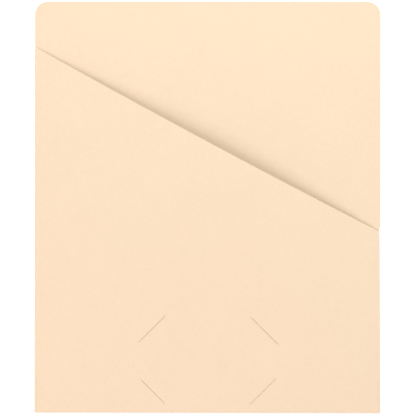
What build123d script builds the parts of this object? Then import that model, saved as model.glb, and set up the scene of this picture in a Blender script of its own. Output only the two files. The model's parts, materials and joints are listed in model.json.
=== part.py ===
from build123d import *
import math
import os

# A letter-size manila slash pocket lying on its back. X runs across it, Y from the bottom fold to the
# top edge and Z up from the table, with the origin on the table under the middle of the outline.
# Every solid is first laid out with the pocket shut flat, and the front is then bent open to its rest.

# Card, glue and the room between the shut panels, in millimetres
CARD_THICKNESS = 0.28
GLUE_THICKNESS = 0.05
POCKET_GAP = 0.5

# Outline of the closed folder
FOLDER_WIDTH = 250.825
FOLDER_HEIGHT = 298.45
TOP_CORNER_RADIUS = 9.525

# Slanted mouth: its left end below the top edge, its fall to the right end, and its shallow sag
MOUTH_LEFT_DROP = 33.5
MOUTH_FALL = 132.75
MOUTH_SAG = 1.55
# Where the mouth gapes most, right of the middle, and how far it stands open at rest
PEAK_OFFSET = 21.5
MOUTH_GAPE = 8.0
# How far that gape draws the upper end of the right side fold in
RIGHT_FOLD_DRAW = 0.6
# Height over which the back panel's cut edge steps in to make room for each side fold
STEP_HEIGHT = 3.5

# Flaps glued behind the back panel
FLAP_WIDTH = 15.875
FLAP_TAPER = 9.0
GLUE_MARGIN = 2.5

# Slits for the corners of a business card: their rectangle's width and height, its middle above the
# bottom edge, and each slit's length and width
SLIT_SPAN_X = 80.3
SLIT_SPAN_Y = 45.0
SLIT_MIDDLE_HEIGHT = 37.9
SLIT_LENGTH = 27.6
SLIT_WIDTH = 0.2
SLIT_ANGLE = 45.0
# How far the cutting die sets each slit off that rectangle's corner, in X and Y, and how much longer than
# the rest it cuts it
SLIT_WANDER = {
    "upper_left": (0.0, 0.55, 0.3),
    "upper_right": (1.3, -0.75, 1.7),
    "lower_left": (0.6, -0.1, -2.05),
    "lower_right": (0.3, 0.25, -0.1),
}

# Clearances that let the front panels move
FOLD_CLEARANCE = 0.1
BEND_CLEARANCE = 0.1
# How far a bend's cut runs past the front panel's outline
CUT_OVERRUN = 5.0

# Heights of the layers in the shut stack
flap_top = CARD_THICKNESS
back_bottom = flap_top + GLUE_THICKNESS
back_top = back_bottom + CARD_THICKNESS
front_bottom = back_top + POCKET_GAP
front_top = front_bottom + CARD_THICKNESS

# The folds are half-round, and end at a crease line where the flat panels begin
side_radius = front_top / 2
bottom_radius = (front_top - back_bottom) / 2
half_width = FOLDER_WIDTH / 2
top_edge = FOLDER_HEIGHT / 2
bottom_edge = -FOLDER_HEIGHT / 2
side_crease = half_width - side_radius
bottom_crease = bottom_edge + bottom_radius
left_mouth = top_edge - MOUTH_LEFT_DROP
right_mouth = left_mouth - MOUTH_FALL

# The right crease leans in towards the mouth, and its roll starts below it at the bottom edge
drawn_crease = side_crease - RIGHT_FOLD_DRAW
right_run = Vector(drawn_crease - side_crease, right_mouth - bottom_crease)
right_lean = right_run.normalized()
right_roll_foot = Vector(side_crease, bottom_crease) - right_run * (bottom_radius / right_run.Y)

# Corners of the front panel, which stays clear of the folds
front_side = side_crease - FOLD_CLEARANCE
front_base = bottom_crease + FOLD_CLEARANCE
corner_left = Vector(-front_side, front_base)
corner_right = Vector(front_side, front_base)
mouth_start = Vector(-front_side, left_mouth)
mouth_end = Vector(drawn_crease - FOLD_CLEARANCE, right_mouth)

# The mouth's edge is one shallow arc, and its peak is a point of that arc
mouth_chord = mouth_end - mouth_start
mouth_normal = Vector(-mouth_chord.Y, mouth_chord.X).normalized()
mouth_low = (mouth_start + mouth_end) / 2 - mouth_normal * MOUTH_SAG
mouth_radius = mouth_chord.length**2 / (8 * MOUTH_SAG) + MOUTH_SAG / 2
mouth_centre = mouth_low + mouth_normal * mouth_radius
peak_drop = math.sqrt(mouth_radius**2 - (PEAK_OFFSET - mouth_centre.X) ** 2)
peak = Vector(PEAK_OFFSET, mouth_centre.Y - peak_drop)

# The front turns about the middle of the bottom fold's roll
hinge_point = Vector(0, bottom_crease, front_top - bottom_radius)
hinge_axis = Axis(hinge_point, (1, 0, 0))


def opening_angle(gape):
    """Turn of the lower front panel, in radians, that lifts the underside of the mouth's peak by gape."""
    reach = peak.Y - hinge_point.Y
    rise = front_bottom - hinge_point.Z
    return math.asin((gape + rise) / math.hypot(reach, rise)) - math.atan2(rise, reach)


def bend_angle(corner, mouth_corner, opening):
    """Bend along the line from a bottom corner to the peak, in radians, that lays the mouth's own corner
    back at the height of its side fold when the lower front panel stands at that opening."""
    ridge = (peak - corner).normalized()
    arm = mouth_corner - corner
    along = arm.dot(ridge)
    across = math.sqrt(arm.length**2 - along**2)
    reach = corner.Y + along * ridge.Y - hinge_point.Y
    rise = front_bottom - hinge_point.Z
    lift = reach * math.sin(opening) - rise * (1 - math.cos(opening))
    level = across * math.cos(opening)
    tilt = across * abs(ridge.X) * math.sin(opening)
    return math.asin(lift / math.hypot(level, tilt)) + math.atan2(tilt, level)


def on_underside(point):
    """A point of the flat layout on the underside of the shut front panel."""
    return Vector(point.X, point.Y, front_bottom)


def plate(outline, bottom):
    """A flat outline given the card's thickness."""
    return extrude(Pos(0, 0, bottom) * outline, CARD_THICKNESS)


def rolled_fold(start, opens, runs, radius, length):
    """A half-round roll of card of that outer radius, open on one side and running along a crease."""
    inner = radius - CARD_THICKNESS
    section = make_face(
        [
            ThreePointArc((0, -radius), (-radius, 0), (0, radius)),
            Line((0, radius), (0, inner)),
            ThreePointArc((0, inner), (-inner, 0), (0, -inner)),
            Line((0, -inner), (0, -radius)),
        ]
    )
    return extrude(Plane(start, x_dir=opens, z_dir=runs) * section, length, dir=runs)


def back_panel():
    """The tall rear panel, narrower between the side folds and rounded at its top corners."""
    sheet = make_face(
        Polyline(
            (-side_crease, bottom_crease),
            (-side_crease, left_mouth),
            (-half_width, left_mouth + STEP_HEIGHT),
            (-half_width, top_edge),
            (half_width, top_edge),
            (half_width, right_mouth + STEP_HEIGHT),
            (drawn_crease, right_mouth),
            (side_crease, bottom_crease),
            close=True,
        )
    )
    top_corners = sheet.vertices().group_by(Axis.Y)[-1]
    return plate(fillet(top_corners, TOP_CORNER_RADIUS), back_bottom)


def flap_outline(side, crease_end):
    """A glue flap with tapered ends, from a side's crease inwards. Side is -1 on the left and 1 on the right,
    and the crease ends at the mouth."""
    free_edge = side * (side_crease - FLAP_WIDTH)
    return make_face(
        Polyline(
            (side * side_crease, bottom_crease),
            (free_edge, bottom_crease + FLAP_TAPER),
            (free_edge, crease_end.Y - FLAP_TAPER),
            (crease_end.X, crease_end.Y),
            close=True,
        )
    )


def glue_seam(flap):
    """The film of paste between a flap and the back panel, kept in from the flap's edges."""
    film = offset(flap, amount=-GLUE_MARGIN, kind=Kind.INTERSECTION)
    return extrude(Pos(0, 0, flap_top) * film, GLUE_THICKNESS)


def card_slits():
    """The four hairline slits, each square to the diagonal of the rectangle that they stand on."""
    slits = Sketch()
    for name, (shift_x, shift_y, longer) in SLIT_WANDER.items():
        up = 1 if "upper" in name else -1
        across = 1 if "right" in name else -1
        x = across * SLIT_SPAN_X / 2 + shift_x
        y = bottom_edge + SLIT_MIDDLE_HEIGHT + up * SLIT_SPAN_Y / 2 + shift_y
        turn = -up * across * SLIT_ANGLE
        slits += Pos(x, y) * Rot(0, 0, turn) * Rectangle(SLIT_LENGTH + longer, SLIT_WIDTH)
    return slits


def bend_cut(corner):
    """The hairline along which the front panel bends, from a bottom corner to the mouth's peak."""
    ridge = peak - corner
    middle = (peak + corner) / 2
    turn = math.degrees(math.atan2(ridge.Y, ridge.X))
    line = Rectangle(ridge.length + 2 * CUT_OVERRUN, BEND_CLEARANCE)
    return Pos(middle.X, middle.Y) * Rot(0, 0, turn) * line


def front_outlines():
    """Flat outlines of the left, lower and right facets of the front panel."""
    blank = make_face(
        [
            ThreePointArc(mouth_start, mouth_low, mouth_end),
            Line(mouth_end, corner_right),
            Line(corner_right, corner_left),
            Line(corner_left, mouth_start),
        ]
    )
    facets = blank - bend_cut(corner_left) - bend_cut(corner_right)
    left, lower, right = sorted(facets.faces(), key=lambda facet: facet.center().X)
    return left, lower - card_slits(), right


# Rest angles of the hinge at the bottom fold and of the two bends
rest_opening = opening_angle(MOUTH_GAPE)
rest_bend_left = bend_angle(corner_left, mouth_start, rest_opening)
rest_bend_right = bend_angle(corner_right, mouth_end, rest_opening)

# Each bend turns about its line on the underside of the card, the way round that folds its facet down
bend_left_axis = Axis(on_underside(peak), corner_left - peak)
bend_right_axis = Axis(on_underside(corner_right), peak - corner_right)


def opened(solid):
    """A front solid turned up from flat about the bottom fold."""
    return solid.rotate(hinge_axis, math.degrees(rest_opening))


left_outline, lower_outline, right_outline = front_outlines()
flat_left = plate(left_outline, front_bottom)
flat_right = plate(right_outline, front_bottom)
left_flap = flap_outline(-1, Vector(-side_crease, left_mouth))
right_flap = flap_outline(1, Vector(drawn_crease, right_mouth))
left_length = left_mouth - bottom_edge
right_length = (right_mouth - bottom_edge) / right_lean.Y

parts = {
    "back_panel": back_panel(),
    "bottom_fold": rolled_fold(
        (-side_crease, bottom_crease, hinge_point.Z), (0, 1, 0), (1, 0, 0), bottom_radius, 2 * side_crease
    ),
    "left_side_fold": rolled_fold(
        (-side_crease, left_mouth, side_radius), (1, 0, 0), (0, -1, 0), side_radius, left_length
    ),
    "right_side_fold": rolled_fold(
        (right_roll_foot.X, right_roll_foot.Y, side_radius),
        (-right_lean.Y, right_lean.X, 0),
        right_lean,
        side_radius,
        right_length,
    ),
    "left_glue_flap": plate(left_flap, 0),
    "right_glue_flap": plate(right_flap, 0),
    "left_glue_seam": glue_seam(left_flap),
    "right_glue_seam": glue_seam(right_flap),
    "front_lower_panel": opened(plate(lower_outline, front_bottom)),
    "front_left_panel": opened(flat_left.rotate(bend_left_axis, math.degrees(rest_bend_left))),
    "front_right_panel": opened(flat_right.rotate(bend_right_axis, math.degrees(rest_bend_right))),
}

os.makedirs("parts", exist_ok=True)
for name, solid in parts.items():
    export_step(solid, f"parts/{name}.step")

print(f"bottom fold turns about y {hinge_point.Y:.3f}, z {hinge_point.Z:.3f} mm")
print(f"open by {math.degrees(rest_opening):.3f} degrees at rest, for a gape of {MOUTH_GAPE} mm")
print(f"bends of {math.degrees(rest_bend_left):.3f} and {math.degrees(rest_bend_right):.3f} degrees")
print(f"the mouth peaks at x {peak.X:.2f}, y {peak.Y:.2f} mm")
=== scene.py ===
# %% [markdown]
# # A manila slash-pocket folder
#
# The real thing is one sheet of tan card. It is die-cut, folded up along its bottom edge, wrapped round
# both sides and pasted behind, so that it makes a pocket with a slanted mouth. Four slits near the bottom
# hold the corners of a business card.
#
# The frame holds that folder as solids, with its sizes and its joints. The flat pieces of it are already
# right, and here they only get a finish. The front is another matter: on the real folder it is one springy
# sheet, and the solids can only show it as three flat facets. It is rebuilt here as one curved sheet, laid
# out at rest from the joints' angles.

# %% Load the frame
import json
import math

import bmesh
import bpy
from mathutils import Matrix, Vector
from mathutils.geometry import delaunay_2d_cdt


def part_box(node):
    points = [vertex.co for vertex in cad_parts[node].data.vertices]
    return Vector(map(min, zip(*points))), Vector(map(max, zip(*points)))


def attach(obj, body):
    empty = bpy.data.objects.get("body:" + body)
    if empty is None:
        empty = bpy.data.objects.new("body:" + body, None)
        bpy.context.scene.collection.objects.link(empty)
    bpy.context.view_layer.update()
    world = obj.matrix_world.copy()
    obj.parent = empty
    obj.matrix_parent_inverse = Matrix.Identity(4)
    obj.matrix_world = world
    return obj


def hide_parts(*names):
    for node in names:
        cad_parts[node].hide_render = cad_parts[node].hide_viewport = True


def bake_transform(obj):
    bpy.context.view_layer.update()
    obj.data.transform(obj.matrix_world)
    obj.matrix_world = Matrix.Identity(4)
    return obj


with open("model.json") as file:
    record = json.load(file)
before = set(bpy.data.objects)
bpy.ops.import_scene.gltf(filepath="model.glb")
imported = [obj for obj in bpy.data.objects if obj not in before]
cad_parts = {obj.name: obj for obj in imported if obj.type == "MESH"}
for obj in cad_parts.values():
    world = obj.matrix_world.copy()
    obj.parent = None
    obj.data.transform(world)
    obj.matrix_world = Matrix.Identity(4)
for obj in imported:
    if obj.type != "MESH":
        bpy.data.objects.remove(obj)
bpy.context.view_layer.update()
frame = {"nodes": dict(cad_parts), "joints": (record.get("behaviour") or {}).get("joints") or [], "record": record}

MM = 0.001
print("nodes:", sorted(frame["nodes"]))

# %% [markdown]
# ## Sizes, read from the solids
#
# A stationer's drawing gives the card's thickness, the crease lines and the place of the mouth. They could
# be typed in again, but then the picture and the solids could drift apart. Reading each one from the box of
# the solid that shows it keeps the two together. The right crease leans: the open mouth draws its upper end
# in, so its place depends on the height up the folder.

# %% Measure the card, the creases and the mouth
back_low, back_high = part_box("back_panel")
left_roll_low, left_roll_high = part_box("left_side_fold")
right_roll_low, right_roll_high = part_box("right_side_fold")
bottom_roll_low, bottom_roll_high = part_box("bottom_fold")

card_thickness = back_high.z - back_low.z
front_top = left_roll_high.z
front_bottom = front_top - card_thickness
side_radius = front_top / 2
bottom_edge = left_roll_low.y
bottom_crease = bottom_roll_high.y
left_crease = left_roll_high.x
right_foot = right_roll_high.x - side_radius
right_draw = right_foot - right_roll_low.x


def right_crease(y):
    """The x of the right crease at a height up the folder."""
    return right_foot - right_draw * (y - bottom_edge) / (right_roll_high.y - bottom_edge)


print(f"card {card_thickness / MM:.2f} mm thick, left crease at x {left_crease / MM:.2f} mm")
print(f"right crease at x {right_foot / MM:.2f} mm, drawn in by {right_draw / MM:.2f} mm at the mouth")

# %% [markdown]
# ## Joints, read from the record
#
# The front turns up about the roll of the bottom fold, and bends along two lines that run from the bottom
# corners to the highest place of the mouth. The lower limit of the main joint is the pocket pressed shut,
# so that limit also says how far the front stands open at rest. Turning a point of the flat sheet through
# those angles gives its place on the solids.

# %% Turn the flat sheet up to its rest
joints = {joint["name"]: joint for joint in frame["joints"]}
ratios = {row["joint"]: row["ratio"] for row in frame["record"]["behaviour"]["couplings"]}
rest_opening = -math.radians(joints["pocket_opening"]["range_deg"][0])


def turn_about(joint, angle):
    """A matrix that turns points about a joint's own line."""
    point = Vector(joint["pos_m"])
    turn = Matrix.Rotation(angle, 4, Vector(joint["axis"]))
    return Matrix.Translation(point) @ turn @ Matrix.Translation(-point)


lower_turn = turn_about(joints["pocket_opening"], rest_opening)
left_turn = turn_about(joints["left_bend"], ratios["left_bend"] * rest_opening) @ lower_turn
right_turn = turn_about(joints["right_bend"], ratios["right_bend"] * rest_opening) @ lower_turn

peak_at_rest = Vector(joints["left_bend"]["pos_m"])
peak = (lower_turn.inverted() @ peak_at_rest).to_2d()
peak_rise = peak_at_rest.z - front_bottom
print(f"the mouth stands {peak_rise / MM:.1f} mm open at x {peak.x / MM:.1f}, y {peak.y / MM:.1f} mm")

# %% [markdown]
# ## Outline of the front sheet, laid flat
#
# Three sides are straight. The fourth, the mouth, is a die-cut edge with a very shallow sag, so it is an
# arc: the circle through its two ends and its highest place. The sheet is made in two halves that meet on
# an upright line below that place, because each half then bends across only one of the two lines.

# %% Lay out the two halves
SHEET_CLEARANCE = 0.1 * MM
GRID_STEP = 3.0 * MM


def left_end(y):
    """The sheet's left end at a height up the folder."""
    return Vector((left_crease + SHEET_CLEARANCE, y))


def right_end(y):
    """The sheet's right end at a height up the folder."""
    return Vector((right_crease(y) - SHEET_CLEARANCE, y))


corner_left, corner_right = left_end(bottom_crease), right_end(bottom_crease)
mouth_left, mouth_right = left_end(left_roll_high.y), right_end(right_roll_high.y)
split_foot = Vector((peak.x, bottom_crease))


def circle_through(a, b, c):
    """Centre and radius of the circle through three points."""
    ab, ac = b - a, c - a
    twice_area = 2 * ab.cross(ac)
    x = (ac.y * ab.length_squared - ab.y * ac.length_squared) / twice_area
    y = (ab.x * ac.length_squared - ac.x * ab.length_squared) / twice_area
    return a + Vector((x, y)), math.hypot(x, y)


mouth_centre, mouth_radius = circle_through(mouth_left, peak, mouth_right)


def straight(start, end):
    """Points from start up to, but without, end, about one grid step apart."""
    count = max(1, round((end - start).length / GRID_STEP))
    return [start.lerp(end, i / count) for i in range(count)]


def along_mouth(start, end):
    """The same, along the arc of the mouth."""
    points = []
    for point in straight(start, end):
        drop = math.sqrt(mouth_radius**2 - (point.x - mouth_centre.x) ** 2)
        points.append(Vector((point.x, mouth_centre.y - drop)))
    return points


left_outline = straight(corner_left, split_foot) + straight(split_foot, peak)
left_outline += along_mouth(peak, mouth_left) + straight(mouth_left, corner_left)
right_outline = straight(split_foot, corner_right) + straight(corner_right, mouth_right)
right_outline += along_mouth(mouth_right, peak) + straight(peak, split_foot)
print(f"mouth radius {mouth_radius:.2f} m, outlines of {len(left_outline)} and {len(right_outline)} points")

# %% [markdown]
# ## The four slits
#
# A steel rule cuts each slit in one stroke. The solid of the lower facet has them as thin rectangles, and
# apart from its three corners they are all its vertices, so their places can be read from there. A cut in
# card closes to nothing at both ends, which a pointed outline shows better than a rectangle does.

# %% Read the slits from the lower facet
FACET_CORNER_REACH = 15 * MM
SLIT_STEP = 1.0 * MM
SLIT_POINT = 1.0 * MM

flat_corners = (corner_left, corner_right, peak)
slit_corners = {}
for vertex in frame["nodes"]["front_lower_panel"].data.vertices:
    flat = (lower_turn.inverted() @ vertex.co).to_2d()
    if min((flat - corner).length for corner in flat_corners) > FACET_CORNER_REACH:
        slit_corners[tuple(round(value / MM, 2) for value in flat)] = flat

middle = sum(slit_corners.values(), Vector((0, 0))) / len(slit_corners)
slit_groups = {}
for flat in slit_corners.values():
    slit_groups.setdefault((flat.x > middle.x, flat.y > middle.y), []).append(flat)


def slit_outline(corners):
    """A thin outline with pointed ends, as long and as wide as the rectangle on these four corners."""
    first = corners[0]
    beside = min(corners[1:], key=lambda corner: (corner - first).length)
    others = [corner for corner in corners[1:] if corner is not beside]
    start = (first + beside) / 2
    end = (others[0] + others[1]) / 2
    across = (beside - first) / 2
    length = (end - start).length
    count = round(length / SLIT_STEP)
    near_side, far_side = [], []
    for i in range(1, count):
        on_line = start.lerp(end, i / count)
        half_open = across * min(1.0, min(i, count - i) / count * length / SLIT_POINT)
        near_side.append(on_line + half_open)
        far_side.append(on_line - half_open)
    return [start] + near_side + [end] + far_side[::-1]


slit_outlines = [slit_outline(corners) for corners in slit_groups.values()]
print(f"{len(slit_outlines)} slits about x {middle.x / MM:.1f}, y {middle.y / MM:.1f} mm")

# %% [markdown]
# ## Triangles for a sheet with slits
#
# A grid that is cut by a boolean would leave ragged triangles along the mouth and the slits. A constrained
# Delaunay triangulation keeps every outline as it is and fills the rest with even triangles. The slits have
# to be emptied afterwards: a triangle whose three corners lie on one slit fills it, and is dropped.

# %% Triangulate a half of the sheet
GRID_MARGIN = 1.8 * MM
TRIANGLES_INSIDE = 1
SAME_POINT = 1e-6


def is_inside(point, outline):
    """Whether a point lies inside a closed outline."""
    inside = False
    for a, b in zip(outline, outline[1:] + outline[:1]):
        if (a.y > point.y) != (b.y > point.y):
            if point.x < a.x + (point.y - a.y) * (b.x - a.x) / (b.y - a.y):
                inside = not inside
    return inside


def grid_points(outline, slits):
    """Points on a square grid, inside the outline and clear of it and of the slits."""
    edge_points = outline + [point for slit in slits for point in slit]
    columns = range(math.floor(left_crease / GRID_STEP), math.ceil(right_foot / GRID_STEP))
    rows = range(math.floor(bottom_edge / GRID_STEP), math.ceil(mouth_left.y / GRID_STEP))
    points = []
    for column in columns:
        for row in rows:
            point = Vector((column * GRID_STEP, row * GRID_STEP))
            if is_inside(point, outline):
                if min((point - other).length for other in edge_points) > GRID_MARGIN:
                    points.append(point)
    return points


def triangulate(outline, slits):
    """Flat points and the triangles between them."""
    loops = [outline] + slits
    points = [point for loop in loops for point in loop]
    edges = []
    slit_of = {}
    first = 0
    for number, loop in enumerate(loops):
        for i in range(len(loop)):
            edges.append((first + i, first + (i + 1) % len(loop)))
            if number:
                slit_of[first + i] = number
        first += len(loop)
    points += grid_points(outline, slits)
    scaled = [point / MM for point in points]
    found, _, faces, *_ = delaunay_2d_cdt(scaled, edges, [], TRIANGLES_INSIDE, SAME_POINT)
    triangles = []
    for face in faces:
        slits_met = {slit_of.get(i) for i in face}
        if len(slits_met) > 1 or None in slits_met:
            triangles.append(tuple(face))
    return [point * MM for point in found], triangles


left_slits = [slit for slit in slit_outlines if slit[0].x < peak.x]
right_slits = [slit for slit in slit_outlines if slit[0].x > peak.x]
left_flat = triangulate(left_outline, left_slits)
right_flat = triangulate(right_outline, right_slits)
print(f"{len(left_flat[1])} and {len(right_flat[1])} triangles")

# %% [markdown]
# ## How the card springs open
#
# Card that is held along three sides and pushed up at the fourth can't make sharp ridges: it bows in a
# wide soft curve. Each side alone would let the sheet rise in proportion to the distance from it. Blending
# the three rises, so that the lowest one rules and the change from one to the next is soft, gives a surface
# that touches all three creases and is highest at the mouth. Close to the side folds the sheet dips by
# less than its own thickness, so that it passes under the lip of the fold.

# %% Give each flat point its place at rest
BOW_SHARPNESS = 5.0
ON_CREASE = 1e-6
LIP_AT_MOUTH = 1.4 * MM
TUCK_RAMP = 6.0 * MM
TUCK_DEPTH = 0.03 * MM
CORNER_TUCK = 0.16 * MM
CORNER_REACH = 45 * MM


def smooth_step(value):
    """0 below 0, 1 above 1 and an easy rise between."""
    value = min(1.0, max(0.0, value))
    return value * value * (3 - 2 * value)


def bow(point):
    """How far the middle of the sheet stands above its shut place."""
    right = right_crease(point.y)
    rises = (
        (point.x - left_crease) / (peak.x - left_crease),
        (right - point.x) / (right - peak.x),
        (point.y - bottom_crease) / (peak.y - bottom_crease),
    )
    if min(rises) < ON_CREASE:
        return 0.0
    mean = sum(rise**-BOW_SHARPNESS for rise in rises) / len(rises)
    return peak_rise * mean ** (-1 / BOW_SHARPNESS)


def tuck(point):
    """How far the sheet dips to pass under the side folds, most of all at the bottom corners."""
    inside = min(point.x - left_end(point.y).x, right_end(point.y).x - point.x)
    corner_share = 1 - smooth_step((point.y - bottom_crease) / CORNER_REACH)
    depth = TUCK_DEPTH + CORNER_TUCK * corner_share
    return depth * (1 - smooth_step((inside - LIP_AT_MOUTH) / TUCK_RAMP))


def facet_turn(point):
    """The turn of the facet that a flat point lies on."""
    if (peak - corner_left).cross(point - corner_left) > 0:
        return left_turn
    if (peak - corner_right).cross(point - corner_right) < 0:
        return right_turn
    return lower_turn


def sprung(point, height):
    """Place at rest of a flat point, at a height over the middle of the card."""
    turned = facet_turn(point) @ Vector((point.x, point.y, front_bottom))
    middle_height = front_bottom + card_thickness / 2 + bow(point) - tuck(point)
    return Vector((turned.x, turned.y, middle_height + height))


print(f"bow at the middle of the lower front: {bow(Vector((0, (bottom_crease + peak.y) / 2))) / MM:.2f} mm")

# %% [markdown]
# ## Mesh of the front sheet
#
# A Solidify modifier could give the sheet its thickness, but the final meshes are read without modifiers.
# So both faces are made from the same triangles, one half a thickness up and one half a thickness down, and
# walls are added where a triangle has no neighbour: along the outline and inside the slits.

# %% Build the two halves
CUT_EDGE_ANGLE = math.radians(50)


def new_piece(name, vertices, faces):
    """A mesh object with outward faces, smooth but for its cut edges."""
    mesh = bpy.data.meshes.new(name)
    mesh.from_pydata([tuple(vertex) for vertex in vertices], [], faces)
    work = bmesh.new()
    work.from_mesh(mesh)
    bmesh.ops.recalc_face_normals(work, faces=work.faces)
    work.to_mesh(mesh)
    work.free()
    mesh.shade_smooth()
    mesh.set_sharp_from_angle(angle=CUT_EDGE_ANGLE)
    piece = bpy.data.objects.new(name, mesh)
    bpy.context.scene.collection.objects.link(piece)
    return piece


def sprung_sheet(name, flat_points, triangles):
    """One half of the front sheet, bowed and as thick as the card."""
    count = len(flat_points)
    half = card_thickness / 2
    vertices = [sprung(point, half) for point in flat_points]
    vertices += [sprung(point, -half) for point in flat_points]
    faces = []
    borders = set()
    for a, b, c in triangles:
        faces.append((a, b, c))
        faces.append((c + count, b + count, a + count))
        for edge in ((a, b), (b, c), (c, a)):
            if edge[::-1] in borders:
                borders.remove(edge[::-1])
            else:
                borders.add(edge)
    faces += [(a, a + count, b + count, b) for a, b in sorted(borders)]
    return new_piece(name, vertices, faces)


front_left_sheet = sprung_sheet("front_sheet_left", *left_flat)
front_right_sheet = sprung_sheet("front_sheet_right", *right_flat)
print(f"front sheet: {len(front_left_sheet.data.polygons) + len(front_right_sheet.data.polygons)} faces")

# %% [markdown]
# ## Bands across the bend lines
#
# Each half of the sheet crosses one bend line, from a bottom corner to the peak. A wide band across that
# line is given by a point below it and a point above it, and both bands start at the same point of the line
# where the halves meet. The halves are then set in place, and the facet solids that they stand for are hidden.

# %% Mark out a band across each bend line
BEND_BAND_START = 30 * MM


def bend_band(corner, side):
    """Points below and above the bend line from a bottom corner to the peak, across the band."""
    ridge = (peak - corner).normalized()
    across = Vector((-ridge.y, ridge.x)) * side
    reach = BEND_BAND_START * abs(ridge.x)
    line_middle = (corner + peak) / 2
    start, end = line_middle - across * reach, line_middle + across * reach
    return start.to_3d(), end.to_3d()


left_below, left_above = bend_band(corner_left, 1)
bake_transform(front_left_sheet)
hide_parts("front_left_panel", "front_lower_panel")
right_below, right_above = bend_band(corner_right, -1)
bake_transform(front_right_sheet)
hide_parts("front_right_panel")
band_widths = ((left_above - left_below).length, (right_above - right_below).length)
print("bend bands", [round(width / MM) for width in band_widths], "mm wide")

# %% [markdown]
# ## Rolled folds
#
# Card can't fold to a knife edge: it goes round in a small roll. Along the sides, the front runs on from the
# roll without a break, but in the frame the front moves and the roll doesn't. A thin lip on the roll hides
# the hairline between them, and it is wider towards the mouth, where the front slips in most as it opens.
# A roll is built as rows of points across it, each with a point on its outer and on its inner face.

# %% Build the side rolls
ROLL_STEPS = 16
ROLL_STATIONS = 24
LIP_THICKNESS = 0.02 * MM
LIP_AT_BOTTOM = 0.25 * MM
LIP_ROOT = 0.02 * MM


def strip_faces(rows):
    """Faces of a closed strip whose rows of outer and inner points all have the same length."""
    width = len(rows[0])
    faces = []
    for k in range(len(rows) - 1):
        for i in range(width):
            a, b = k * width + i, k * width + (i + 1) % width
            faces.append((a, b, b + width, a + width))
    half = width // 2
    for k in (0, len(rows) - 1):
        for i in range(half - 1):
            outer, inner = k * width + i, k * width + width - 1 - i
            faces.append((outer, outer + 1, inner - 1, inner))
    return faces


def roll_arc(radius, sweep):
    """Points round a roll, from its rear crease through its outermost line, about the middle of the roll."""
    points = []
    for i in range(ROLL_STEPS + 1):
        angle = -math.pi / 2 - sweep * i / ROLL_STEPS
        points.append((radius * math.cos(angle), radius * math.sin(angle)))
    return points


def side_roll(name, sheet_end, inwards, mouth):
    """The roll down one side. Inwards is 1 where the sheet lies towards +X, and -1 where towards -X."""
    outer = roll_arc(side_radius, math.pi)
    inner = roll_arc(side_radius - card_thickness, math.pi)
    rows = []
    for k in range(ROLL_STATIONS + 1):
        share = k / ROLL_STATIONS
        y = bottom_edge + (mouth - bottom_edge) * share
        crease = sheet_end(y).x - inwards * SHEET_CLEARANCE
        lip = LIP_AT_BOTTOM + (LIP_AT_MOUTH - LIP_AT_BOTTOM) * share
        tip = side_radius + bow(Vector((crease + inwards * lip, y)))
        top = outer + [(LIP_ROOT, side_radius), (lip, tip)]
        under = inner + [(LIP_ROOT, side_radius - LIP_THICKNESS), (lip, tip - LIP_THICKNESS)]
        section = top + under[::-1]
        rows.append([Vector((crease + inwards * u, y, side_radius + v)) for u, v in section])
    vertices = [point for row in rows for point in row]
    return new_piece(name, vertices, strip_faces(rows))


left_roll = side_roll("left_roll", left_end, 1, left_roll_high.y)
right_roll = side_roll("right_roll", right_end, -1, right_roll_high.y)
for roll, node in ((left_roll, "left_side_fold"), (right_roll, "right_side_fold")):
    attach(roll, "back")
    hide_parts(node)
print(f"side rolls {front_top / MM:.2f} mm thick")

# %% [markdown]
# The bottom roll joins the back to the front, and the joint's axis runs through its middle.

# %% Build the bottom roll
def bottom_roll():
    """The roll along the bottom, open at the top by the angle at which the front stands."""
    radius = (bottom_roll_high.z - bottom_roll_low.z) / 2
    sweep = math.pi - rest_opening
    section = roll_arc(radius, sweep) + roll_arc(radius - card_thickness, sweep)[::-1]
    height = bottom_roll_low.z + radius
    rows = []
    for k in range(ROLL_STATIONS + 1):
        x = left_crease + (right_foot - left_crease) * k / ROLL_STATIONS
        rows.append([Vector((x, bottom_crease + u, height + v)) for u, v in section])
    return new_piece("bottom_roll", [point for row in rows for point in row], strip_faces(rows))


bottom_roll_piece = bottom_roll()
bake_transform(bottom_roll_piece)
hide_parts("bottom_fold")
print(f"bottom roll {(bottom_roll_high.z - bottom_roll_low.z) / MM:.2f} mm thick")

# %% [markdown]
# ## Tools for finishes
#
# A finish could be a painted picture, but a picture has a fixed grain and has to be wrapped round each piece.
# Here each finish is worked out from the place on the folder, by a small network of nodes. A helper adds one
# node and gives back its result, so that a finish reads like a sum. Object coordinates are metres in the
# frame, so a pattern has its real scale and runs on from one piece to the next.

# %% Helpers for nodes
NOISE_MIDDLE = 0.5


def add_node(tree, kind, inputs=None, **settings):
    """A node with its settings, and its inputs given as values or as sockets to link from."""
    node = tree.nodes.new(kind)
    for key, value in settings.items():
        setattr(node, key, value)
    for key, value in (inputs or {}).items():
        if isinstance(value, bpy.types.NodeSocket):
            tree.links.new(value, node.inputs[key])
        else:
            node.inputs[key].default_value = value
    return node


def calculate(tree, operation, *values):
    """The result of a Math node on values or sockets."""
    return add_node(tree, "ShaderNodeMath", dict(enumerate(values)), operation=operation).outputs[0]


def noise(tree, place, scale, detail=2.0):
    """A noise pattern's value, on average NOISE_MIDDLE."""
    inputs = {"Vector": place, "Scale": scale, "Detail": detail}
    return add_node(tree, "ShaderNodeTexNoise", inputs).outputs[0]


def mask_between(tree, value, low, high):
    """0 where the value is at low, 1 where it is at high, and held beyond them."""
    inputs = {"Value": value, "From Min": low, "From Max": high}
    return add_node(tree, "ShaderNodeMapRange", inputs, interpolation_type="SMOOTHSTEP").outputs[0]


def mix_colours(tree, share, first, second):
    """A mix of two colours. The Mix node keeps its colour sockets after its number and vector ones."""
    return add_node(tree, "ShaderNodeMix", {0: share, 6: first, 7: second}, data_type="RGBA").outputs[2]


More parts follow.
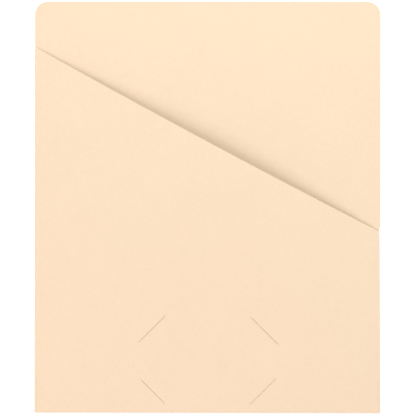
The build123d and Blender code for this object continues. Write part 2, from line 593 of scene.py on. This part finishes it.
def new_group(name, inputs, outputs):
    """A shader node group with named sockets. Gives its tree, both ends and the place in metres."""
    tree = bpy.data.node_groups.new(name, "ShaderNodeTree")
    for label, value in inputs.items():
        kind = "NodeSocketColor" if isinstance(value, tuple) else "NodeSocketFloat"
        tree.interface.new_socket(label, in_out="INPUT", socket_type=kind).default_value = value
    for label, kind in outputs.items():
        tree.interface.new_socket(label, in_out="OUTPUT", socket_type=kind)
    given = tree.nodes.new("NodeGroupInput").outputs
    made = tree.nodes.new("NodeGroupOutput").inputs
    place = add_node(tree, "ShaderNodeTexCoord").outputs["Object"]
    return tree, given, made, place


print("node helpers:", [helper.__name__ for helper in (noise, mask_between, mix_colours, new_group)])

# %% [markdown]
# ## Finish: fibres and clouds
#
# Manila card is uncoated. Its colour is a warm buff that is never quite even: the pulp settles in faint
# clouds, with short pale and dark fibres that lie every way, and a few brown flecks of bark. Flat and folded
# card both need that, so it is a node group, with the colours as its inputs.
#
# A stretched noise makes fibres that all lie one way, and that looks like wood. So several layers of it are
# turned against each other, and the place that they all read is first bent a little, which curls them. The
# Mapping node turns before it stretches only in its Texture mode.

# %% Fibres and flecks
FIBRE_SCALE = 9500.0
FIBRE_LENGTH = 24.0
FIBRE_MASK = (0.6, 0.74)
FIBRE_LAYERS = 8
LAYER_SHIFT = 0.7
CURL_SCALE = 420.0
CURL_REACH = 0.9 * MM
FLECK_SCALE = 210.0
FLECK_RADIUS = 0.075
FLECK_CORE = 0.75
FLECK_EDGE_SCALE = 4200.0
FLECK_RAGGEDNESS = 0.09
FLECK_SHARE = 0.25


def curled(tree, place):
    """The place, moved about by a noise, so that straight patterns curl."""
    wave = add_node(tree, "ShaderNodeTexNoise", {"Vector": place, "Scale": CURL_SCALE}).outputs["Color"]
    reach = {0: wave, 1: (CURL_REACH, CURL_REACH, CURL_REACH), 2: place}
    return add_node(tree, "ShaderNodeVectorMath", reach, operation="MULTIPLY_ADD").outputs[0]


def fibre_layer(tree, place, number):
    """A mask of the short fibres that lie one way."""
    turn = math.pi * number / FIBRE_LAYERS
    shift = (LAYER_SHIFT * number, 0, 0)
    lie = {"Vector": place, "Location": shift, "Rotation": (0, 0, turn), "Scale": (1, FIBRE_LENGTH, 1)}
    along = add_node(tree, "ShaderNodeMapping", lie, vector_type="TEXTURE").outputs[0]
    return mask_between(tree, noise(tree, along, FIBRE_SCALE, detail=0.0), *FIBRE_MASK)


def flecks(tree, place):
    """A mask of ragged flecks of several sizes, far apart."""
    cells = add_node(tree, "ShaderNodeTexVoronoi", {"Vector": place, "Scale": FLECK_SCALE}).outputs
    drawn = add_node(tree, "ShaderNodeSeparateColor", {0: cells["Color"]}).outputs
    radius = calculate(tree, "MULTIPLY", drawn[1], FLECK_RADIUS)
    edge = calculate(tree, "SUBTRACT", noise(tree, place, FLECK_EDGE_SCALE), NOISE_MIDDLE)
    ragged = calculate(tree, "MULTIPLY_ADD", edge, FLECK_RAGGEDNESS, cells["Distance"])
    spots = mask_between(tree, ragged, radius, calculate(tree, "MULTIPLY", radius, FLECK_CORE))
    return calculate(tree, "MULTIPLY", spots, calculate(tree, "LESS_THAN", drawn[0], FLECK_SHARE))


print(f"fibres about {1 / FIBRE_SCALE / MM:.2f} mm wide and {FIBRE_LENGTH / FIBRE_SCALE / MM:.1f} mm long")

# %% The pulp group
CARD_COLOUR = (0.924, 0.724, 0.522, 1)
DARK_FIBRE_COLOUR = (0.81, 0.59, 0.39, 1)
PALE_FIBRE_COLOUR = (0.97, 0.80, 0.63, 1)
FLECK_COLOUR = (0.52, 0.34, 0.19, 1)
CLOUD_SCALE = 24.0
MOTTLE_SCALE = 170.0


def build_pulp_group():
    """The card's colour with clouds, fibres and flecks, and the fibres alone."""
    inputs = {
        "Card": CARD_COLOUR,
        "Dark fibre": DARK_FIBRE_COLOUR,
        "Pale fibre": PALE_FIBRE_COLOUR,
        "Fleck": FLECK_COLOUR,
        "Cloud depth": 0.04,
        "Fibre amount": 0.3,
        "Fleck amount": 0.4,
    }
    outputs = {"Color": "NodeSocketColor", "Fibres": "NodeSocketFloat"}
    tree, given, made, place = new_group("pulp", inputs, outputs)
    mottle = noise(tree, place, MOTTLE_SCALE, detail=4.0)
    clouds = calculate(tree, "ADD", noise(tree, place, CLOUD_SCALE), mottle)
    centred = calculate(tree, "SUBTRACT", clouds, 2 * NOISE_MIDDLE)
    level = calculate(tree, "MULTIPLY_ADD", centred, given["Cloud depth"], 1.0)
    clouded = {0: given["Card"], "Scale": level}
    colour = add_node(tree, "ShaderNodeVectorMath", clouded, operation="SCALE").outputs[0]

    bent = curled(tree, place)
    all_fibres = 0.0
    for number in range(FIBRE_LAYERS):
        fibres = fibre_layer(tree, bent, number)
        share = calculate(tree, "MULTIPLY", fibres, given["Fibre amount"])
        tone = given["Pale fibre"] if number % 2 else given["Dark fibre"]
        colour = mix_colours(tree, share, colour, tone)
        all_fibres = calculate(tree, "MAXIMUM", fibres, all_fibres)

    share = calculate(tree, "MULTIPLY", flecks(tree, place), given["Fleck amount"])
    tree.links.new(mix_colours(tree, share, colour, given["Fleck"]), made["Color"])
    tree.links.new(all_fibres, made["Fibres"])
    return tree


pulp_group = build_pulp_group()
print(f"pulp group: {len(pulp_group.nodes)} nodes")

# %% [markdown]
# ## Finish: tooth
#
# Uncoated card has a fine tooth that a fingertip can feel, from the felt that it was pressed on. It is far
# too small to model, so it is a height for a bump, and a value that makes the high spots a little duller.

# %% The tooth group
TOOTH_SCALE = 3800.0
FELT_SCALE = 700.0
FELT_SHARE = 0.6
FELT_MASK = (0.25, 0.75)


def build_tooth_group():
    """Height of the card's surface, and how dull it is."""
    outputs = {"Height": "NodeSocketFloat", "Dullness": "NodeSocketFloat"}
    tree, given, made, place = new_group("tooth", {"Felt": FELT_SHARE}, outputs)
    fine = noise(tree, place, TOOTH_SCALE, detail=3.0)
    felt = noise(tree, place, FELT_SCALE)
    tree.links.new(calculate(tree, "MULTIPLY_ADD", felt, given["Felt"], fine), made["Height"])
    tree.links.new(mask_between(tree, felt, *FELT_MASK), made["Dullness"])
    return tree


tooth_group = build_tooth_group()
print(f"tooth group: {len(tooth_group.nodes)} nodes")

# %% [markdown]
# ## Finish: cut edges and worn crests
#
# The blade leaves the paler core of the card showing along every cut edge, and a fold is rubbed pale along
# its outermost line. Both are the places where a surface faces sideways instead of up or down, so one
# mask of the normal finds them, and a noise breaks it up so that the wear isn't even.

# %% The edge group
WEAR_SCALE = 420.0
WEAR_MASK = (0.65, 0.35)
CUT_EDGE = {"Facing from": 0.6, "Facing to": 0.3, "Breakup": 0.4}
WORN_CREST = {"Facing from": 0.7, "Facing to": 0.0, "Breakup": 0.7}


def build_edge_group():
    """A mask of the surfaces that face sideways, broken up by a noise."""
    tree, given, made, place = new_group("edge_wear", CUT_EDGE, {"Mask": "NodeSocketFloat"})
    normal = add_node(tree, "ShaderNodeNewGeometry").outputs["Normal"]
    upright = add_node(tree, "ShaderNodeSeparateXYZ", {0: normal}).outputs["Z"]
    facing = calculate(tree, "ABSOLUTE", upright)
    sideways = mask_between(tree, facing, given["Facing from"], given["Facing to"])
    gaps = mask_between(tree, noise(tree, place, WEAR_SCALE, detail=3.0), *WEAR_MASK)
    lost = calculate(tree, "MULTIPLY", gaps, given["Breakup"])
    kept = calculate(tree, "SUBTRACT", 1.0, lost)
    tree.links.new(calculate(tree, "MULTIPLY", sideways, kept), made["Mask"])
    return tree


edge_group = build_edge_group()
print(f"edge group: {len(edge_group.nodes)} nodes")

# %% [markdown]
# ## Finish: flat and folded card
#
# The groups give colours, masks and heights, and each finish puts its own shader round them. Card that is
# still flat is dull all over. Card in a fold was pressed as it was folded, so it is smoother there and its
# crest is worn.

# %% Mix the card finishes
CORE_COLOUR = (0.93, 0.77, 0.59, 1)
WORN_COLOUR = (0.94, 0.76, 0.57, 1)
FLAT_ROUGHNESS = (0.8, 0.92)
FOLD_ROUGHNESS = (0.62, 0.8)
FLAT_SPECULAR = 0.25
FOLD_SPECULAR = 0.35
TOOTH_DEPTH = 0.03 * MM
FIBRE_RELIEF = 0.25


def new_finish(name, specular):
    """A new finish, its nodes and its shader. Specular says how strongly it mirrors."""
    material = bpy.data.materials.new(name)
    material.use_nodes = True
    shader = material.node_tree.nodes["Principled BSDF"]
    shader.inputs["Specular IOR Level"].default_value = specular
    return material, material.node_tree, shader


def link_surface(tree, shader, colour, height, dullness, roughness, depth):
    """Feeds a shader's colour, its roughness between two values, and its bump."""
    low, high = roughness
    rough = add_node(tree, "ShaderNodeMapRange", {"Value": dullness, "To Min": low, "To Max": high})
    bump = add_node(tree, "ShaderNodeBump", {"Height": height, "Distance": depth})
    tree.links.new(colour, shader.inputs["Base Color"])
    tree.links.new(rough.outputs[0], shader.inputs["Roughness"])
    tree.links.new(bump.outputs[0], shader.inputs["Normal"])


def card_finish(name, pale, edge_values, roughness, specular):
    """Manila card whose sideways surfaces turn pale."""
    material, tree, shader = new_finish(name, specular)
    pulp = add_node(tree, "ShaderNodeGroup", node_tree=pulp_group).outputs
    edge = add_node(tree, "ShaderNodeGroup", edge_values, node_tree=edge_group).outputs
    tooth = add_node(tree, "ShaderNodeGroup", node_tree=tooth_group).outputs
    colour = mix_colours(tree, edge["Mask"], pulp["Color"], pale)
    height = calculate(tree, "MULTIPLY_ADD", pulp["Fibres"], FIBRE_RELIEF, tooth["Height"])
    link_surface(tree, shader, colour, height, tooth["Dullness"], roughness, TOOTH_DEPTH)
    return material


flat_card = card_finish("manila_card", CORE_COLOUR, CUT_EDGE, FLAT_ROUGHNESS, FLAT_SPECULAR)
folded_card = card_finish("manila_fold", WORN_COLOUR, WORN_CREST, FOLD_ROUGHNESS, FOLD_SPECULAR)
print("card finishes:", flat_card.name, folded_card.name)

# %% [markdown]
# ## Finish: paste
#
# Paste is brushed on and squeezed thin as the flap is pressed down. It dries yellower and smoother than card,
# and darker where the film is thick. It only shows when the layers are taken apart, so one noise is enough:
# its lumps give the colour, the shine and the height.

# %% Mix the paste finish
PASTE_COLOUR = (0.80, 0.66, 0.42, 1)
PASTE_DARK = (0.66, 0.50, 0.28, 1)
PASTE_LUMP_SCALE = 300.0
PASTE_LUMP_MASK = (0.3, 0.7)
PASTE_ROUGHNESS = (0.35, 0.65)
PASTE_SPECULAR = 0.5
PASTE_DEPTH = 0.02 * MM


def paste_finish():
    """A dried film of paste, darker where it is thick."""
    material, tree, shader = new_finish("paste_film", PASTE_SPECULAR)
    place = add_node(tree, "ShaderNodeTexCoord").outputs["Object"]
    lumps = noise(tree, place, PASTE_LUMP_SCALE, detail=4.0)
    thick = mask_between(tree, lumps, *PASTE_LUMP_MASK)
    colour = mix_colours(tree, thick, PASTE_COLOUR, PASTE_DARK)
    link_surface(tree, shader, colour, lumps, lumps, PASTE_ROUGHNESS, PASTE_DEPTH)
    return material


paste = paste_finish()
print("paste finish:", paste.name)

# %% [markdown]
# ## Finishes on the pieces
#
# The whole folder is cut from one sheet, so every piece of card has the same finish, and only the rolls show
# it worn. A solid brings a slot for its finish. A new piece has none yet, so it is given one here.

# %% Put the finishes on the pieces
sheets = (front_left_sheet, front_right_sheet)
rolls = (left_roll, right_roll, bottom_roll_piece)
for name, node in frame["nodes"].items():
    node.material_slots[0].material = paste if name.endswith("seam") else flat_card

for piece in sheets:
    piece.data.materials.append(flat_card)
for piece in rolls:
    piece.data.materials.append(folded_card)
print(f"{len(frame['nodes'])} solids and {len(sheets + rolls)} new pieces have a finish")

# %% [markdown]
# ## Table, light and camera
#
# The folder lies on its back on a white table, photographed from straight above. A table that is lit to
# just under white would look grey in the picture, so it glows a little, but only to rays that come from the
# camera or from a mirror: none of that light falls on the card, and the folder's shadow still shows. Far from
# the folder, where the lamps don't reach, it glows more.

# %% Lay the table
TABLE_SIZE = 6.0
TABLE_DROP = 0.02 * MM
TABLE_COLOUR = (0.93, 0.93, 0.93, 1)
TABLE_GLOW = 0.2
FAR_GLOW = 0.6
FAR_FROM = 0.4
FAR_TO = 1.2


def seen_directly(tree):
    """1 for rays from the camera, from a mirror or through glass, and 0 for all others."""
    rays = add_node(tree, "ShaderNodeLightPath").outputs
    mirrored = calculate(tree, "MAXIMUM", rays["Is Glossy Ray"], rays["Is Transmission Ray"])
    return calculate(tree, "MAXIMUM", rays["Is Camera Ray"], mirrored)


def lay_table():
    """A wide white plane just under the folder."""
    half = TABLE_SIZE / 2
    corners = [(-half, -half), (half, -half), (half, half), (-half, half)]
    table = new_piece("table", [(x, y, -TABLE_DROP) for x, y in corners], [(0, 1, 2, 3)])
    material, tree, shader = new_finish("white_table", specular=0.0)
    shader.inputs["Base Color"].default_value = TABLE_COLOUR
    shader.inputs["Roughness"].default_value = 1.0
    shader.inputs["Emission Color"].default_value = (1, 1, 1, 1)
    place = add_node(tree, "ShaderNodeTexCoord").outputs["Object"]
    distance = add_node(tree, "ShaderNodeVectorMath", {0: place}, operation="LENGTH").outputs["Value"]
    far = mask_between(tree, distance, FAR_FROM, FAR_TO)
    strength = calculate(tree, "MULTIPLY_ADD", far, FAR_GLOW - TABLE_GLOW, TABLE_GLOW)
    glow = calculate(tree, "MULTIPLY", seen_directly(tree), strength)
    tree.links.new(glow, shader.inputs["Emission Strength"])
    table.data.materials.append(material)


lay_table()
print(f"table {TABLE_SIZE:.0f} m wide")

# %% [markdown]
# A pale room gives more than half of the light here, and with it the soft shadow above the lip of the mouth.
# A low soft box beyond the top edge makes the slow fall of light from top to bottom, and darkens the lower
# front, which leans away from it. A wide soft box on the other side shines over the lip, so it deepens the
# shadow of the lip and gives it an end.
#
# Light that bounces between two sheets of buff card turns red, and it would redden that shadow. So the low
# box is a little cool and the wide one a little warm. Together they are white, but where the lip hides the
# wide one, the cool one takes the red out again.

# %% Light the table
SKY_LIGHT = 0.63
COOL_WHITE = (0.84, 1.0, 1.0)
WARM_WHITE = (1.0, 0.833, 0.833)
SOFT_BOXES = {
    "low_box": {"place": Vector((0.2, 1.1, 0.65)), "size": 0.6, "power": 8.3, "tint": COOL_WHITE},
    "wide_box": {"place": Vector((-0.6, -1.15, 1.55)), "size": 1.6, "power": 15.6, "tint": WARM_WHITE},
}


def light_room():
    """An even pale sky. Seen directly it is white."""
    world = bpy.data.worlds.new("pale_room")
    bpy.context.scene.world = world
    world.use_nodes = True
    tree = world.node_tree
    background = tree.nodes["Background"]
    background.inputs["Color"].default_value = (1, 1, 1, 1)
    level = calculate(tree, "MULTIPLY_ADD", seen_directly(tree), 1 - SKY_LIGHT, SKY_LIGHT)
    tree.links.new(level, background.inputs["Strength"])


def hang_soft_box(name, place, size, power, tint):
    """A square area light that looks at the folder."""
    lamp = bpy.data.lights.new(name, "AREA")
    lamp.size = size
    lamp.energy = power
    lamp.color = tint
    holder = bpy.data.objects.new(name, lamp)
    holder.location = place
    holder.rotation_euler = (-place).to_track_quat("-Z", "Y").to_euler()
    bpy.context.scene.collection.objects.link(holder)


light_room()
for name, box in SOFT_BOXES.items():
    hang_soft_box(name, **box)
bpy.context.scene.view_settings.view_transform = "Standard"
print("lights: pale room,", ", ".join(SOFT_BOXES))

# %% [markdown]
# The picture is square and the folder nearly fills its height. Its opposite sides are almost equally long,
# so the camera looked straight down from well above, a touch to the right of the middle. A long lens keeps
# the raised front from looking larger than the back.

# %% Set up the camera
VIEW_WIDTH = 302.15 * MM
VIEW_CENTRE = Vector((0.33 * MM, -0.6 * MM, 1.0 * MM))
CAMERA_OFFSET = Vector((0.005, -0.002, 1.5))
CAMERA_ROLL = math.radians(0.065)


def set_up_camera():
    """A long lens looking down, with the top of the folder up."""
    camera_data = bpy.data.cameras.new("camera")
    camera_data.lens = camera_data.sensor_width * CAMERA_OFFSET.length / VIEW_WIDTH
    camera = bpy.data.objects.new("camera", camera_data)
    away = CAMERA_OFFSET.normalized()
    right = Vector((0, 1, 0)).cross(away).normalized()
    facing = Matrix((right, away.cross(right), away)).transposed()
    turned = facing @ Matrix.Rotation(CAMERA_ROLL, 3, "Z")
    camera.matrix_world = Matrix.Translation(VIEW_CENTRE + CAMERA_OFFSET) @ turned.to_4x4()
    bpy.context.scene.collection.objects.link(camera)
    bpy.context.scene.camera = camera
    return camera_data


camera_data = set_up_camera()
print(f"camera with a {camera_data.lens:.0f} mm lens")
